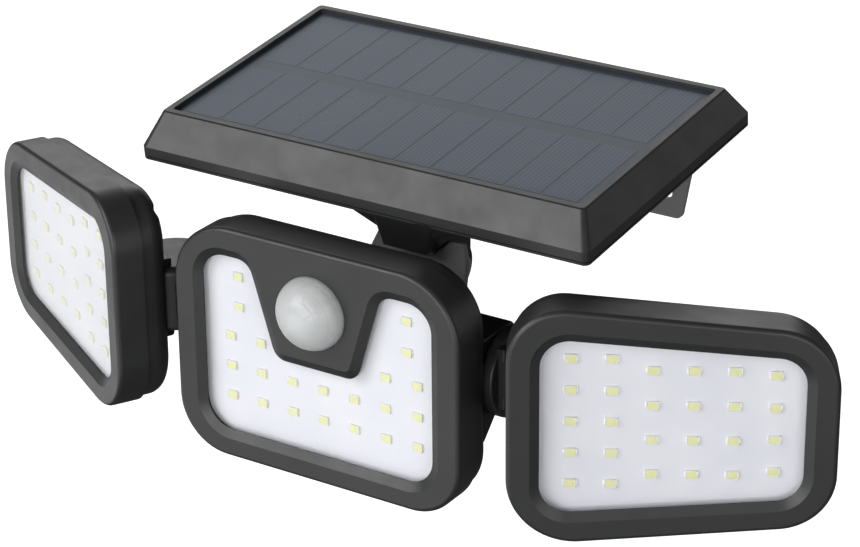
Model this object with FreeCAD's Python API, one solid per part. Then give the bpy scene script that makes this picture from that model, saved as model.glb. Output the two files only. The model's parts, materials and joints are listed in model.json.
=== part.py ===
import FreeCAD, Part
import os
from math import sin, cos, tan, radians, degrees, sqrt, pi, atan2

# Wall light with three lamp heads, a solar panel and a motion sensor.
# Millimetres. X to the right of someone facing the light, Y towards the wall, Z up.
# The origin is the centre of the back face of the wall plate.

V = FreeCAD.Vector

# ---------------------------------------------------------------- dimensions
# wall plate
PLATE_T = 2.0
PLATE_R = 2.4                  # corner radius
PLATE_TOP_HALF = 61.9          # half width at the top edge
PLATE_BOT_HALF = 53.7          # half width at the bottom edge
PLATE_H = 45.5
PLATE_HOLE_R = 2.5
PLATE_HOLE_X = 96.0            # spacing
PLATE_HOLE_Z = 28.0
EAR_IN = 11.0                  # wall ears, inner and outer faces
EAR_OUT = 15.0
LAMP_Y, LAMP_Z = -28.0, -3.0   # lamp pivot axis (along X)
LAMP_R = 9.0
LAMP_BOLT_R = 3.0

# solar panel housing, in its own tilted frame
PANEL_Y, PANEL_Z = -60.0, 27.0 # centre of the rim plane
PANEL_TILT = 6.16              # degrees, front edge low
RIM_HX, RIM_HY = 76.1, 43.8    # outer half sizes of the rim plane
BEV_X, BEV_Y, BEV_H = 4.5, 6.9, 10.2
BAND_H = 4.5
RIM_R, OUT_R = 1.6, 2.2          # corner radii of the rim and of the band
SEAM_Z = -13.3                 # joint between frame and back shell
REC_HX, REC_HY = 73.8, 41.5    # recess for the cells
REC_D = 1.4                    # cells lie this far below the rim
LAM_T = 2.0
WALL = 2.2

# belly of the back shell, holding cell and board
BELLY = [(-44.6, 20.5), (-41.0, 2.5), (-30.5, -6.3), (-19.0, -10.5),
         (19.0, -10.5), (30.5, -6.3), (41.0, 2.5), (44.6, 20.5)]
BELLY_Z = -10.5                # underside of the belly
BELLY_Y0, BELLY_Y1 = -70.0, -40.0
NECK_Y, NECK_Z = -64.0, -26.5  # neck pivot axis (along X)
NECK_R = 8.0
NECK_BOLT_R = 2.5
NOSE_Y = -83.0                 # front of the nose between the horns of the neck plate
NOSE_HX, NOSE_Z = 8.0, -15.6   # half width and height of its bottom
NOSE_DRAFT = 0.36
WING = [(9.9, -10.1), (19.9, -6.3), (23.0, 4.0)]   # fairing on both sides of the nose
EAR_X0, EAR_X1 = 5.3, 8.3      # ears of the neck pivot
BTN_Y, BTN_R = -49.5, 5.0
BTN_TRAVEL = 1.2

# lamp heads
MID_Y, MID_Z = -132.7, -35.8   # centre of the middle front face
MID_W, MID_H = 103.0, 77.4
SIDE_X, SIDE_Y, SIDE_Z = 112.27, -114.56, -34.6
SIDE_YAW = 30.0
SIDE_W, SIDE_HI, SIDE_HO = 95.3, 77.6, 60.8
MID_R = [17.4, 17.4, 21.0, 21.0]         # corner radii from the lower left, counter-clockwise
SIDE_R = [20.0, 17.6, 19.5, 16.7]        # the same, inner end on the left
FRAME_D = 10.0
COVER_D = 9.0
COVER_IN = 1.0
COVER_R = 5.0
EDGE_R = 1.5
LENS_Y, LENS_T = 1.8, 2.0
CHAM_W = 2.8
BOARD_Y, BOARD_T = 4.9, 1.6
LED_W, LED_H, LED_T = 3.5, 2.8, 0.8
PIR_V, PIR_R, PIR_H = 18.3, 11.6, 9.0

# bar behind the middle head, and the knuckles of the side heads
BAR_HX = 48.5
BAR_Y0, BAR_Y1 = -113.7, -96.0
BAR_HZ = 12.8
BAR_UP = 1.0                   # the top of the bar is this much higher
BAR_WR = 1.8                   # rear wall of the bar
AX_Y, AX_Z = -102.6, -35.8     # tilt axis of the side arms (along X)
DISC_R, DISC_T = 14.2, 4.2
DRUM_X, DRUM_Y = 70.5, -108.0  # swing axis of the side heads (along Z)
DRUM_Z = -33.8
DRUM_R = 13.6
DRUM_HZ = 10.8
FORK_T = 4.4
LUG_R = 7.0
WEB_Y0, WEB_Y1 = -113.0, -98.5 # web between disc and lug
PIN_R = 2.5
SPIG_R, SPIG_BORE = 4.2, 2.2
LEFT_TURN = -1.1               # the left head stands this much further in

os.makedirs("parts", exist_ok=True)
OUT = {}


# ---------------------------------------------------------------- helpers
def offset_poly(pts, rad, d):
    """Offset a counter-clockwise polygon outwards by d, with its corner radii."""
    n = len(pts)
    lines = []
    for i in range(n):
        x0, y0 = pts[i]
        x1, y1 = pts[(i + 1) % n]
        L = sqrt((x1 - x0) ** 2 + (y1 - y0) ** 2)
        tx, ty = (x1 - x0) / L, (y1 - y0) / L
        lines.append((x0 + ty * d, y0 - tx * d, tx, ty))
    P, R = [], []
    for i in range(n):
        a, b = lines[i - 1], lines[i]
        cr = a[2] * b[3] - a[3] * b[2]
        if abs(cr) < 1e-9:
            P.append((b[0], b[1]))
        else:
            s = ((b[0] - a[0]) * b[3] - (b[1] - a[1]) * b[2]) / cr
            P.append((a[0] + s * a[2], a[1] + s * a[3]))
        R.append(max(rad[i] + (d if cr > 0 else -d), 0.0))
    return P, R


def rwire(pts, rad, y=0.0, place=None):
    """Closed wire of a polygon with rounded corners, in the plane y."""
    f = place or (lambda u, v: V(u, y, v))
    n = len(pts)
    ent = []
    for i in range(n):
        p0, p1, p2 = pts[i - 1], pts[i], pts[(i + 1) % n]
        ax, ay = p0[0] - p1[0], p0[1] - p1[1]
        bx, by = p2[0] - p1[0], p2[1] - p1[1]
        la, lb = sqrt(ax * ax + ay * ay), sqrt(bx * bx + by * by)
        ax, ay, bx, by = ax / la, ay / la, bx / lb, by / lb
        r = rad[i]
        c = max(-1.0, min(1.0, ax * bx + ay * by))
        half = 0.5 * arc_cos(c)
        if r < 1e-6 or abs(half - pi / 2) < 1e-6:
            ent.append((p1, None, p1))
            continue
        t = r / tan(half)
        s = (p1[0] + ax * t, p1[1] + ay * t)
        e = (p1[0] + bx * t, p1[1] + by * t)
        mx, my = ax + bx, ay + by
        lm = sqrt(mx * mx + my * my)
        k = r / sin(half) - r
        m = (p1[0] + mx / lm * k, p1[1] + my / lm * k)
        ent.append((s, m, e))
    edges = []
    for i in range(n):
        s, m, e = ent[i]
        if m is not None:
            edges.append(Part.Arc(f(*s), f(*m), f(*e)).toShape())
        nx = ent[(i + 1) % n][0]
        if sqrt((nx[0] - e[0]) ** 2 + (nx[1] - e[1]) ** 2) > 1e-4:
            edges.append(Part.LineSegment(f(*e), f(*nx)).toShape())
    return Part.Wire(edges)


def arc_cos(c):
    return atan2(sqrt(max(0.0, 1 - c * c)), c)


def prism(pts, rad, y0, y1, d=0.0):
    P, R = offset_poly(pts, rad, d)
    return Part.Face(rwire(P, R, y0)).extrude(V(0, y1 - y0, 0))


def box(x0, x1, y0, y1, z0, z1):
    return Part.makeBox(x1 - x0, y1 - y0, z1 - z0, V(x0, y0, z0))


def cyl(r, p, axis, length):
    return Part.makeCylinder(r, length, V(*p), V(*axis))


def flat_edges(shape, axis, val, tol=1e-3):
    out = []
    for e in shape.Edges:
        b = e.BoundBox
        lo, hi = {"x": (b.XMin, b.XMax), "y": (b.YMin, b.YMax), "z": (b.ZMin, b.ZMax)}[axis]
        if abs(lo - val) < tol and abs(hi - val) < tol:
            out.append(e)
    return out


def fuse(*s):
    r = s[0]
    for t in s[1:]:
        r = r.fuse(t)
    return r.removeSplitter()


def save(name, shape):
    OUT[name] = shape


def moved(shape, yaw, c):
    s = shape.copy()
    s.rotate(V(0, 0, 0), V(0, 0, 1), yaw)
    s.translate(V(*c))
    return s


def mirrored(shape):
    return shape.mirror(V(0, 0, 0), V(1, 0, 0))


# ---------------------------------------------------------------- lamp head
def head_shell(poly, rad, win, wrad):
    """Front frame of a head: rounded side wall, chamfered window, lens seat."""
    body = prism(poly, rad, 0, FRAME_D)
    body = body.makeFillet(EDGE_R, flat_edges(body, "y", 0.0))
    # rebate for the seal on the rear edge, then the hollow behind the front wall
    body = body.cut(prism(poly, rad, FRAME_D - 0.8, FRAME_D + 1, -1.3))
    body = body.cut(prism(poly, rad, LENS_Y + LENS_T, FRAME_D + 2, -2.6))
    # lens seat, window land and chamfer
    body = body.cut(prism(win, wrad, LENS_Y, LENS_Y + LENS_T + 1, 2.2))
    body = body.cut(prism(win, wrad, -1, LENS_Y + 1))
    k = CHAM_W / (LENS_Y - 0.4)
    P0, R0 = offset_poly(win, wrad, CHAM_W + 0.5 * k)
    P1, R1 = offset_poly(win, wrad, -0.4 * k)
    w0 = rwire(P0, R0, -0.5)
    w1 = rwire(P1, R1, LENS_Y)
    return body.cut(Part.makeLoft([w0, w1], True, True))


def corner_points(poly, rad, d):
    """Points on the corner bisectors, d inside the rounded outline."""
    P, R = [], []
    n = len(poly)
    out = []
    for i in range(n):
        p0, p1, p2 = poly[i - 1], poly[i], poly[(i + 1) % n]
        ax, ay = p0[0] - p1[0], p0[1] - p1[1]
        bx, by = p2[0] - p1[0], p2[1] - p1[1]
        la, lb = sqrt(ax * ax + ay * ay), sqrt(bx * bx + by * by)
        ax, ay, bx, by = ax / la, ay / la, bx / lb, by / lb
        half = 0.5 * arc_cos(ax * bx + ay * by)
        mx, my = ax + bx, ay + by
        lm = sqrt(mx * mx + my * my)
        k = rad[i] / sin(half) - rad[i] + d
        out.append((p1[0] + mx / lm * k, p1[1] + my / lm * k))
    return out


def screw(p, y_head, length, r=1.25, hr=2.3, ht=1.6):
    """Pan-head screw along -Y from its head."""
    s = cyl(r, (p[0], y_head - length, p[1]), (0, 1, 0), length)
    h = cyl(hr, (p[0], y_head, p[1]), (0, 1, 0), ht)
    h = h.makeFillet(0.7, flat_edges(h, "y", y_head + ht))
    slot1 = box(p[0] - 1.3, p[0] + 1.3, y_head + ht - 0.8, y_head + ht + 1, p[1] - 0.25, p[1] + 0.25)
    slot2 = box(p[0] - 0.25, p[0] + 0.25, y_head + ht - 0.8, y_head + ht + 1, p[1] - 1.3, p[1] + 1.3)
    return s.fuse(h).cut(slot1).cut(slot2).removeSplitter()


def head(poly, rad, win, wrad, leds):
    parts = {}
    frame = head_shell(poly, rad, win, wrad)
    corners = corner_points(poly, rad, 4.6)
    for (u, v) in corners:
        frame = frame.fuse(cyl(2.4, (u, LENS_Y + LENS_T - 0.5, v), (0, 1, 0), FRAME_D - LENS_Y - LENS_T + 0.5))
    for (u, v) in corners:
        frame = frame.cut(cyl(1.25, (u, LENS_Y + LENS_T, v), (0, 1, 0), FRAME_D))
    # the seat stays clear of the bosses
    frame = frame.cut(prism(win, wrad, LENS_Y, FRAME_D + 1, 2.2))
    parts["front_frame"] = frame.removeSplitter()
    # rear cover
    y0, y1 = FRAME_D, FRAME_D + COVER_D
    P, R = offset_poly(poly, rad, -COVER_IN)
    cover = prism(P, R, y0, y1)
    cover = cover.makeFillet(COVER_R, flat_edges(cover, "y", y1))
    inner = prism(P, R, y0 - 1, y1 - WALL, -2.4)
    inner = inner.makeFillet(3.0, flat_edges(inner, "y", y1 - WALL))
    for (u, v) in corners:
        inner = inner.cut(cyl(4.2, (u, y0 - 2, v), (0, 1, 0), COVER_D + 4))
    cover = cover.cut(inner)
    for (u, v) in corners:
        cover = cover.cut(cyl(1.45, (u, y0 - 1, v), (0, 1, 0), 30))
        cover = cover.cut(cyl(2.6, (u, y0 + 3.2, v), (0, 1, 0), 30))
    parts["rear_cover"] = cover.removeSplitter()
    # seal
    seal = prism(poly, rad, FRAME_D - 0.8, FRAME_D, -1.3).cut(
        prism(poly, rad, FRAME_D - 0.9, FRAME_D + 0.1, -2.6))
    for (u, v) in corners:
        seal = seal.cut(cyl(2.45, (u, FRAME_D - 2, v), (0, 1, 0), 4))
    parts["seal"] = seal
    # lens
    parts["lens"] = prism(win, wrad, LENS_Y, LENS_Y + LENS_T, 2.0)
    # board, held between the screw bosses
    board = prism(win, wrad, BOARD_Y, BOARD_Y + BOARD_T, 1.6)
    parts["led_board"] = board
    parts["leds"] = Part.makeCompound([
        box(u - LED_W / 2, u + LED_W / 2, BOARD_Y - LED_T, BOARD_Y, v - LED_H / 2, v + LED_H / 2)
        for (u, v) in leds])
    parts["screws"] = Part.makeCompound([screw(c, y0 + 3.2, 8.6) for c in corners])
    # ledge on the cover that carries the board
    ribs = []
    for (u0, u1, v0, v1) in RIBS:
        ribs.append(box(u0, u1, BOARD_Y + BOARD_T, y1 - WALL + 0.2, v0, v1))
    parts["rear_cover"] = fuse(parts["rear_cover"], *ribs)
    return parts


# ---------------------------------------------------------------- side head
hx = SIDE_W / 2
side_poly = [(-hx, -SIDE_HI / 2), (hx, -SIDE_HO / 2), (hx, SIDE_HO / 2), (-hx, SIDE_HI / 2)]
side_rad = SIDE_R
side_win = [(-38.0, -28.1), (38.0, -22.2), (38.0, 22.2), (-38.0, 28.1)]
side_wrad = [8.5] * 4
side_leds = []
for u in (-29.1, -17.4):
    side_leds += [(u, 0.9 + 10.0 * k) for k in (-2, -1, 0, 1, 2)]
for u in (-5.7, 6.0, 17.7):
    side_leds += [(u, 0.8 + 11.05 * k) for k in (-1.5, -0.5, 0.5, 1.5)]
side_leds += [(29.4, 0.9 + 10.27 * k) for k in (-1.5, -0.5, 0.5, 1.5)]
RIBS = [(-30, 30, -15.8, -14.2), (-30, 30, 14.2, 15.8)]
R = head(side_poly, side_rad, side_win, side_wrad, side_leds)

# hinge drum on the rear cover: swing axis in the head's own frame
yr = radians(SIDE_YAW)
dx, dy = DRUM_X - SIDE_X, DRUM_Y - SIDE_Y
lug_u = dx * cos(yr) + dy * sin(yr)
lug_y = -dx * sin(yr) + dy * cos(yr)
lz = DRUM_Z - SIDE_Z
rear = FRAME_D + COVER_D
slot_h = DRUM_HZ - FORK_T
drum = cyl(DRUM_R, (lug_u, lug_y, lz - DRUM_HZ), (0, 0, 1), 2 * DRUM_HZ)
drum = drum.makeFillet(2.6, flat_edges(drum, "z", lz + DRUM_HZ))
drum = drum.makeFillet(1.6, flat_edges(drum, "z", lz - DRUM_HZ))
foot = box(lug_u - 9.0, lug_u + 17.5, rear - 1.5, rear + 3.2, lz - DRUM_HZ - 2.5, lz + DRUM_HZ + 2.5)
foot = foot.makeFillet(1.4, flat_edges(foot, "y", rear + 3.2))
drum = drum.fuse(foot).cut(box(-100, 100, -10, rear - 1.5, -60, 60))
# slot for the lug and the web of the arm, open over the swing
wedge = [V(lug_u, lug_y, lz - slot_h)]
for a_ in (64, 97, 130, 165, 203):
    wedge.append(V(lug_u + 30 * cos(radians(a_)), lug_y + 30 * sin(radians(a_)), lz - slot_h))
wedge.append(wedge[0])
slot = Part.Face(Part.makePolygon(wedge)).extrude(V(0, 0, 2 * slot_h))
slot = slot.fuse(cyl(LUG_R + 0.5, (lug_u, lug_y, lz - slot_h), (0, 0, 1), 2 * slot_h))
drum = drum.cut(slot).cut(cyl(PIN_R, (lug_u, lug_y, lz - 20), (0, 0, 1), 20 + DRUM_HZ - 1.2))
R["rear_cover"] = fuse(R["rear_cover"], drum)

for k, s in R.items():
    w = moved(s, SIDE_YAW, (SIDE_X, SIDE_Y, SIDE_Z))
    save("right_" + k, w)
    w2 = w.copy()
    w2.rotate(V(DRUM_X, DRUM_Y, 0), V(0, 0, 1), LEFT_TURN)
    save("left_" + k, mirrored(w2))

# ---------------------------------------------------------------- knuckles
x0 = BAR_HX + 0.35
x1 = x0 + DISC_T
disc = cyl(DISC_R, (x0, AX_Y, AX_Z), (1, 0, 0), DISC_T)
disc = disc.makeFillet(0.8, flat_edges(disc, "x", x0) + flat_edges(disc, "x", x1))
lug = cyl(LUG_R, (DRUM_X, DRUM_Y, DRUM_Z - slot_h + 0.3), (0, 0, 1), 2 * slot_h - 0.6)
wz = DRUM_Z - slot_h + 0.3
web = Part.Face(Part.makePolygon([V(p[0], p[1], wz) for p in (
    (x1 - 0.6, WEB_Y0), (x1 + 3.0, WEB_Y0), (DRUM_X - 5.5, DRUM_Y - 3.0), (DRUM_X, DRUM_Y - 3.0), (DRUM_X, DRUM_Y + 4.0),
    (DRUM_X - 5.5, DRUM_Y + 4.0), (x1 + 3.0, WEB_Y1), (x1 - 0.6, WEB_Y1), (x1 - 0.6, WEB_Y0))])).extrude(V(0, 0, 2 * slot_h - 0.6))
root = box(x1 - 0.6, x1 + 2.4, WEB_Y0, WEB_Y1, DRUM_Z - DRUM_HZ + 1.0, DRUM_Z + DRUM_HZ - 1.0)
root = root.makeFillet(1.0, flat_edges(root, "x", x1 + 2.4))
spig = cyl(SPIG_R, (x0 - 7.0, AX_Y, AX_Z), (1, 0, 0), 8.0)
kn = fuse(disc, lug.fuse(web), root, spig)
kn = kn.cut(cyl(SPIG_BORE, (x0 - 8.0, AX_Y, AX_Z), (1, 0, 0), 18))
groove = cyl(SPIG_R + 1, (x0 - 5.35, AX_Y, AX_Z), (1, 0, 0), 1.2).cut(
    cyl(SPIG_R - 0.8, (x0 - 5.35, AX_Y, AX_Z), (1, 0, 0), 1.2))
kn = kn.cut(groove)
kn = kn.cut(cyl(PIN_R + 0.05, (DRUM_X, DRUM_Y, DRUM_Z - 20), (0, 0, 1), 40)).removeSplitter()
save("right_knuckle", kn)
save("left_knuckle", mirrored(kn))

# pin pushed in from below, its tip blind in the upper plate
pin = cyl(PIN_R, (DRUM_X, DRUM_Y, DRUM_Z - DRUM_HZ), (0, 0, 1), 2 * DRUM_HZ - 1.2)
cap2 = cyl(4.4, (DRUM_X, DRUM_Y, DRUM_Z - DRUM_HZ - 1.5), (0, 0, 1), 1.5)
cap2 = cap2.makeFillet(0.8, flat_edges(cap2, "z", DRUM_Z - DRUM_HZ - 1.5))
pn = fuse(pin, cap2)
save("right_hinge_pin", pn)
save("left_hinge_pin", mirrored(pn))

clip = cyl(4.75, (x0 - 5.3, AX_Y, AX_Z), (1, 0, 0), 1.1).cut(
    cyl(SPIG_R - 0.8, (x0 - 5.4, AX_Y, AX_Z), (1, 0, 0), 1.4))
clip = clip.cut(box(x0 - 6, x0 - 3, AX_Y - 2.3, AX_Y + 2.3, AX_Z, AX_Z + 20))
save("right_retaining_clip", clip)
save("left_retaining_clip", mirrored(clip))

# ---------------------------------------------------------------- middle head
mw, mh = MID_W / 2, MID_H / 2
mid_poly = [(-mw, -mh), (mw, -mh), (mw, mh), (-mw, mh)]
mid_rad = MID_R
# window with the sensor tongue cut into its top edge
mid_win = [(-41.4, -29.6), (41.4, -29.6), (41.4, 29.0), (23.9, 29.0), (14.7, -1.0),
           (-14.7, -1.0), (-23.9, 29.0), (-41.4, 29.0)]
mid_wrad = [9.0, 9.0, 8.6, 5.6, 5.0, 5.0, 5.6, 8.6]
mid_leds = [(u, v) for u in (-33.15, -21.85, 23.55, 34.85) for v in (-18.7, -8.6, 1.5)]
mid_leds += [(u, v) for u in (-10.45, 0.85, 12.15) for v in (-18.7, -8.6)]
mid_leds += [(u, v) for u in (-29.65, 31.35) for v in (11.7, 21.8)]
RIBS = [(-30, 30, -20.8, -19.2), (-12, 12, -8.8, -7.2)]
M = head(mid_poly, mid_rad, mid_win, mid_wrad, mid_leds)
# hole for the sensor dome in the tongue
M["front_frame"] = M["front_frame"].cut(cyl(PIR_R + 0.15, (0, -1, PIR_V), (0, 1, 0), 8)).removeSplitter()
M["front_frame"] = M["front_frame"].cut(cyl(13.4, (0, LENS_Y + LENS_T - 1.0, PIR_V), (0, 1, 0), 3)).removeSplitter()
# the board also carries the sensor behind the tongue
tongue = box(-11, 11, BOARD_Y, BOARD_Y + BOARD_T, -4, PIR_V + 9)
M["led_board"] = fuse(M["led_board"], tongue)


def dome_solid(r, h, base, flange_r, flange_y0, flange_y1, v):
    """Turned cup: elliptical cap towards -Y, short barrel and a flange."""
    n = 10
    pts = [V(r * sin(0.5 * pi * i / n), -h * cos(0.5 * pi * i / n), 0) for i in range(n + 1)]
    crv = Part.BSplineCurve()
    crv.interpolate(pts, InitialTangent=V(1, 0, 0), FinalTangent=V(0, 1, 0))
    edges = [crv.toShape()]
    if flange_r > 0:
        line = [pts[-1], V(r, flange_y0, 0), V(flange_r, flange_y0, 0), V(flange_r, flange_y1, 0), V(0, flange_y1, 0), pts[0]]
    else:
        line = [pts[-1], V(r, base, 0), V(0, base, 0), pts[0]]
    for a, b in zip(line[:-1], line[1:]):
        edges.append(Part.LineSegment(a, b).toShape())
    s = Part.Face(Part.Wire(edges)).revolve(V(0, 0, 0), V(0, 1, 0), 360)
    s.translate(V(0, 0, v))
    return s


dm = dome_solid(PIR_R, PIR_H, 0, 13.1, LENS_Y + LENS_T - 0.9, LENS_Y + LENS_T + 0.3, PIR_V)
dm = dm.cut(dome_solid(PIR_R - 0.9, PIR_H - 0.9, 6.0, 0, 0, 0, PIR_V))
M["sensor_dome"] = dm
M["motion_sensor"] = fuse(cyl(4.6, (0, BOARD_Y - 0.6, PIR_V), (0, 1, 0), 0.6),
                          cyl(4.1, (0, BOARD_Y - 4.2, PIR_V), (0, 1, 0), 3.8))
for k, s in M.items():
    nm = k if k in ("sensor_dome", "motion_sensor") else "middle_" + k
    save(nm, moved(s, 0, (0, MID_Y, MID_Z)))

# bar behind the middle head
bar = box(-BAR_HX, BAR_HX, BAR_Y0, BAR_Y1, AX_Z - BAR_HZ, AX_Z + BAR_HZ + BAR_UP)
bar = bar.makeFillet(2.5, [e for e in bar.Edges if e.BoundBox.YMin > BAR_Y1 - 0.01 and e.BoundBox.XLength > 10])
bar = bar.makeFillet(0.8, [e for e in bar.Edges if e.BoundBox.XLength < 0.01 and abs(abs(e.BoundBox.XMin) - BAR_HX) < 0.01 and e.BoundBox.YMax > BAR_Y0 + 0.1])
bar = bar.cut(box(-BAR_HX + 3.0, BAR_HX - 3.0, BAR_Y0 - 1, BAR_Y1 - BAR_WR, AX_Z - BAR_HZ + WALL, AX_Z + BAR_HZ + BAR_UP - WALL))
for sx in (-1, 1):
    xr = sx * (BAR_HX - 1.25)
    tri = Part.Face(Part.makePolygon([V(xr - 1.25, BAR_Y0, AX_Z - BAR_HZ + 0.5), V(xr - 1.25, BAR_Y0 + 7.4, AX_Z - BAR_HZ + 0.5),
                                      V(xr - 1.25, BAR_Y0, AX_Z - BAR_HZ - 7.0), V(xr - 1.25, BAR_Y0, AX_Z - BAR_HZ + 0.5)]))
    bar = bar.fuse(tri.extrude(V(2.5, 0, 0)))
    bar = bar.cut(cyl(SPIG_R + 0.06, (sx * (BAR_HX + 1), AX_Y, AX_Z), (-sx, 0, 0), 6))
# bosses that take the bar screws from inside the middle head
for (u, v) in ((-36, 8), (36, 8), (-36, -8), (36, -8)):
    bar = bar.fuse(box(u - 3.0, u + 3.0, BAR_Y0, BAR_Y1 - BAR_WR + 0.1, AX_Z + (v - 3.0 if v > 0 else -BAR_HZ + 0.1), AX_Z + (BAR_HZ + BAR_UP - 0.1 if v > 0 else v + 3.0)))
# tapped pads for the neck bracket
bar = bar.fuse(box(-11, 11, BAR_Y1 - WALL - 2.5, BAR_Y1 - BAR_WR + 0.1, AX_Z - 10, AX_Z + 10))
for (u, v) in ((-36, 8), (36, 8), (-36, -8), (36, -8)):
    bar = bar.cut(cyl(1.5, (u, BAR_Y0 - 1, AX_Z + v), (0, 1, 0), 12))
NS = [(-7.85, 6.5), (7.85, 6.5), (-7.85, -6.5), (7.85, -6.5)]
for (u, v) in NS:
    bar = bar.cut(cyl(1.5, (u, BAR_Y1 - WALL - 3, AX_Z + v), (0, 1, 0), 12))
save("pivot_bar", bar.removeSplitter())
cov = OUT["middle_rear_cover"]
for (u, v) in ((-36, 8), (36, 8), (-36, -8), (36, -8)):
    cov = cov.cut(cyl(1.6, (u, BAR_Y0 - 5, AX_Z + v), (0, 1, 0), 10))
# clearance for the discs of the side arms, with a thicker wall behind it
for sx in (-1, 1):
    xa = 44.6 if sx > 0 else -48.5
    cov = cov.fuse(box(xa, xa + 3.9, BAR_Y0 - 6.5, BAR_Y0 - 0.5, AX_Z - 14, AX_Z + 14))
    cov = cov.cut(cyl(DISC_R + 0.6, (sx * (BAR_HX - 0.1), AX_Y, AX_Z), (sx, 0, 0), 6))
# wire passage to the bar
cov = cov.cut(cyl(4.0, (20, BAR_Y0 - 5, AX_Z), (0, 1, 0), 10))
save("middle_rear_cover", cov.removeSplitter())


def screw_y(p, yh, length, r=1.5, hr=2.7, ht=1.7, sgn=1):
    """Pan-head screw whose head points to -Y (sgn 1) or +Y (sgn -1)."""
    s = cyl(r, (p[0], yh, p[1]), (0, sgn, 0), length)
    h = cyl(hr, (p[0], yh, p[1]), (0, -sgn, 0), ht)
    h = h.makeFillet(0.7, flat_edges(h, "y", yh - sgn * ht))
    k = box(p[0] - 1.6, p[0] + 1.6, min(yh - sgn * ht, yh - sgn * (ht - 0.8)), max(yh - sgn * ht, yh - sgn * (ht - 0.8)), p[1] - 0.3, p[1] + 0.3)
    k2 = box(p[0] - 0.3, p[0] + 0.3, min(yh - sgn * ht, yh - sgn * (ht - 0.8)), max(yh - sgn * ht, yh - sgn * (ht - 0.8)), p[1] - 1.6, p[1] + 1.6)
    return s.fuse(h).cut(k).cut(k2).removeSplitter()


save("bar_screws", Part.makeCompound([screw_y((u, AX_Z + v), BAR_Y0 - WALL, 9.0)
                                      for (u, v) in ((-36, 8), (36, 8), (-36, -8), (36, -8))]))

# ---------------------------------------------------------------- neck bracket
# its plate has a horn on both sides of the nose, the left one lower
plate_pts = [(-15.4, -21.0), (15.4, -21.0), (18.9, 8.0), (17.5, 14.3), (12.4, 14.0), (7.0, 8.7),
             (-7.0, 8.7), (-12.4, 14.0), (-13.2, 14.0), (-17.7, 5.0)]
pl = Part.Face(rwire(plate_pts, [4, 4, 22, 1.2, 0.6, 1.5, 1.5, 0.3, 0.3, 8], NECK_Y - 12.0)).extrude(V(0, 1.8, 0))
pl.translate(V(0, 0, NECK_Z))
pl = pl.makeFillet(0.5, flat_edges(pl, "y", NECK_Y - 12.0))


def nose_half(z):
    return NOSE_HX + NOSE_DRAFT * (z - NOSE_Z)


boss = box(-11.5, 11.5, BAR_Y1, NECK_Y - 11.5, AX_Z - 9.6, AX_Z + 9.6)
boss = boss.makeFillet(1.5, [e for e in boss.Edges if e.BoundBox.YLength > 5])
kn2 = cyl(NECK_R, (-5.0, NECK_Y, NECK_Z), (1, 0, 0), 10.0)
arm2 = box(-5.0, 5.0, NECK_Y - 11.0, NECK_Y, NECK_Z - NECK_R, NECK_Z + NECK_R - 1.0)
nb = fuse(pl, boss, kn2, arm2)
nb = nb.cut(cyl(NECK_BOLT_R + 0.05, (-20, NECK_Y, NECK_Z), (1, 0, 0), 40))
for (u, v) in NS:
    nb = nb.cut(cyl(1.6, (u, BAR_Y1 - 1, AX_Z + v), (0, 1, 0), 40))
    nb = nb.cut(cyl(2.8, (u, BAR_Y1 + 4.0, AX_Z + v), (0, 1, 0), 20.0))
save("neck_bracket", nb.removeSplitter())
save("neck_screws", Part.makeCompound([screw_y((u, AX_Z + v), BAR_Y1 + 4.0, 8.4, sgn=-1) for (u, v) in NS]))

nhead = cyl(4.0, (EAR_X1 + 0.2, NECK_Y, NECK_Z), (1, 0, 0), 2.4)
nhead = nhead.makeFillet(0.9, flat_edges(nhead, "x", EAR_X1 + 2.6))
nbolt = fuse(cyl(NECK_BOLT_R, (-12.6, NECK_Y, NECK_Z), (1, 0, 0), 12.6 + EAR_X1 + 0.2), nhead)
nbolt = nbolt.cut(box(EAR_X1 + 1.6, EAR_X1 + 4, NECK_Y - 0.5, NECK_Y + 0.5, NECK_Z - 2.8, NECK_Z + 2.8))
save("neck_bolt", nbolt)


def hexnut(af, t, r, x, y, z):
    rr = af / sqrt(3.0)
    pts = [V(x, y + rr * cos(radians(60 * k + 30)), z + rr * sin(radians(60 * k + 30))) for k in range(7)]
    n = Part.Face(Part.makePolygon(pts)).extrude(V(t, 0, 0))
    c = cyl(af / 2 + 0.35, (x, y, z), (1, 0, 0), t)
    return n.common(c.makeChamfer(0.35, flat_edges(c, "x", x) + flat_edges(c, "x", x + t))).cut(cyl(r, (x - 1, y, z), (1, 0, 0), t + 2))


save("neck_nut", hexnut(8.0, 3.6, NECK_BOLT_R, -EAR_X1 - 0.2 - 3.6, NECK_Y, NECK_Z))

# ---------------------------------------------------------------- solar panel
pt = radians(PANEL_TILT)


def panel_place(s):
    s = s.copy()
    s.rotate(V(0, 0, 0), V(1, 0, 0), PANEL_TILT)
    s.translate(V(0, PANEL_Y, PANEL_Z))
    return s


def rect_w(hx_, hy_, r, z, cy=0.0):
    P = [(-hx_, -hy_), (hx_, -hy_), (hx_, hy_), (-hx_, hy_)]
    return rwire(P, [r] * 4, 0, place=lambda a, b: V(a, b + cy, z))


def rprism(hx_, hy_, r, z0, z1):
    return Part.Face(rect_w(hx_, hy_, r, z0)).extrude(V(0, 0, z1 - z0))


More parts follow.
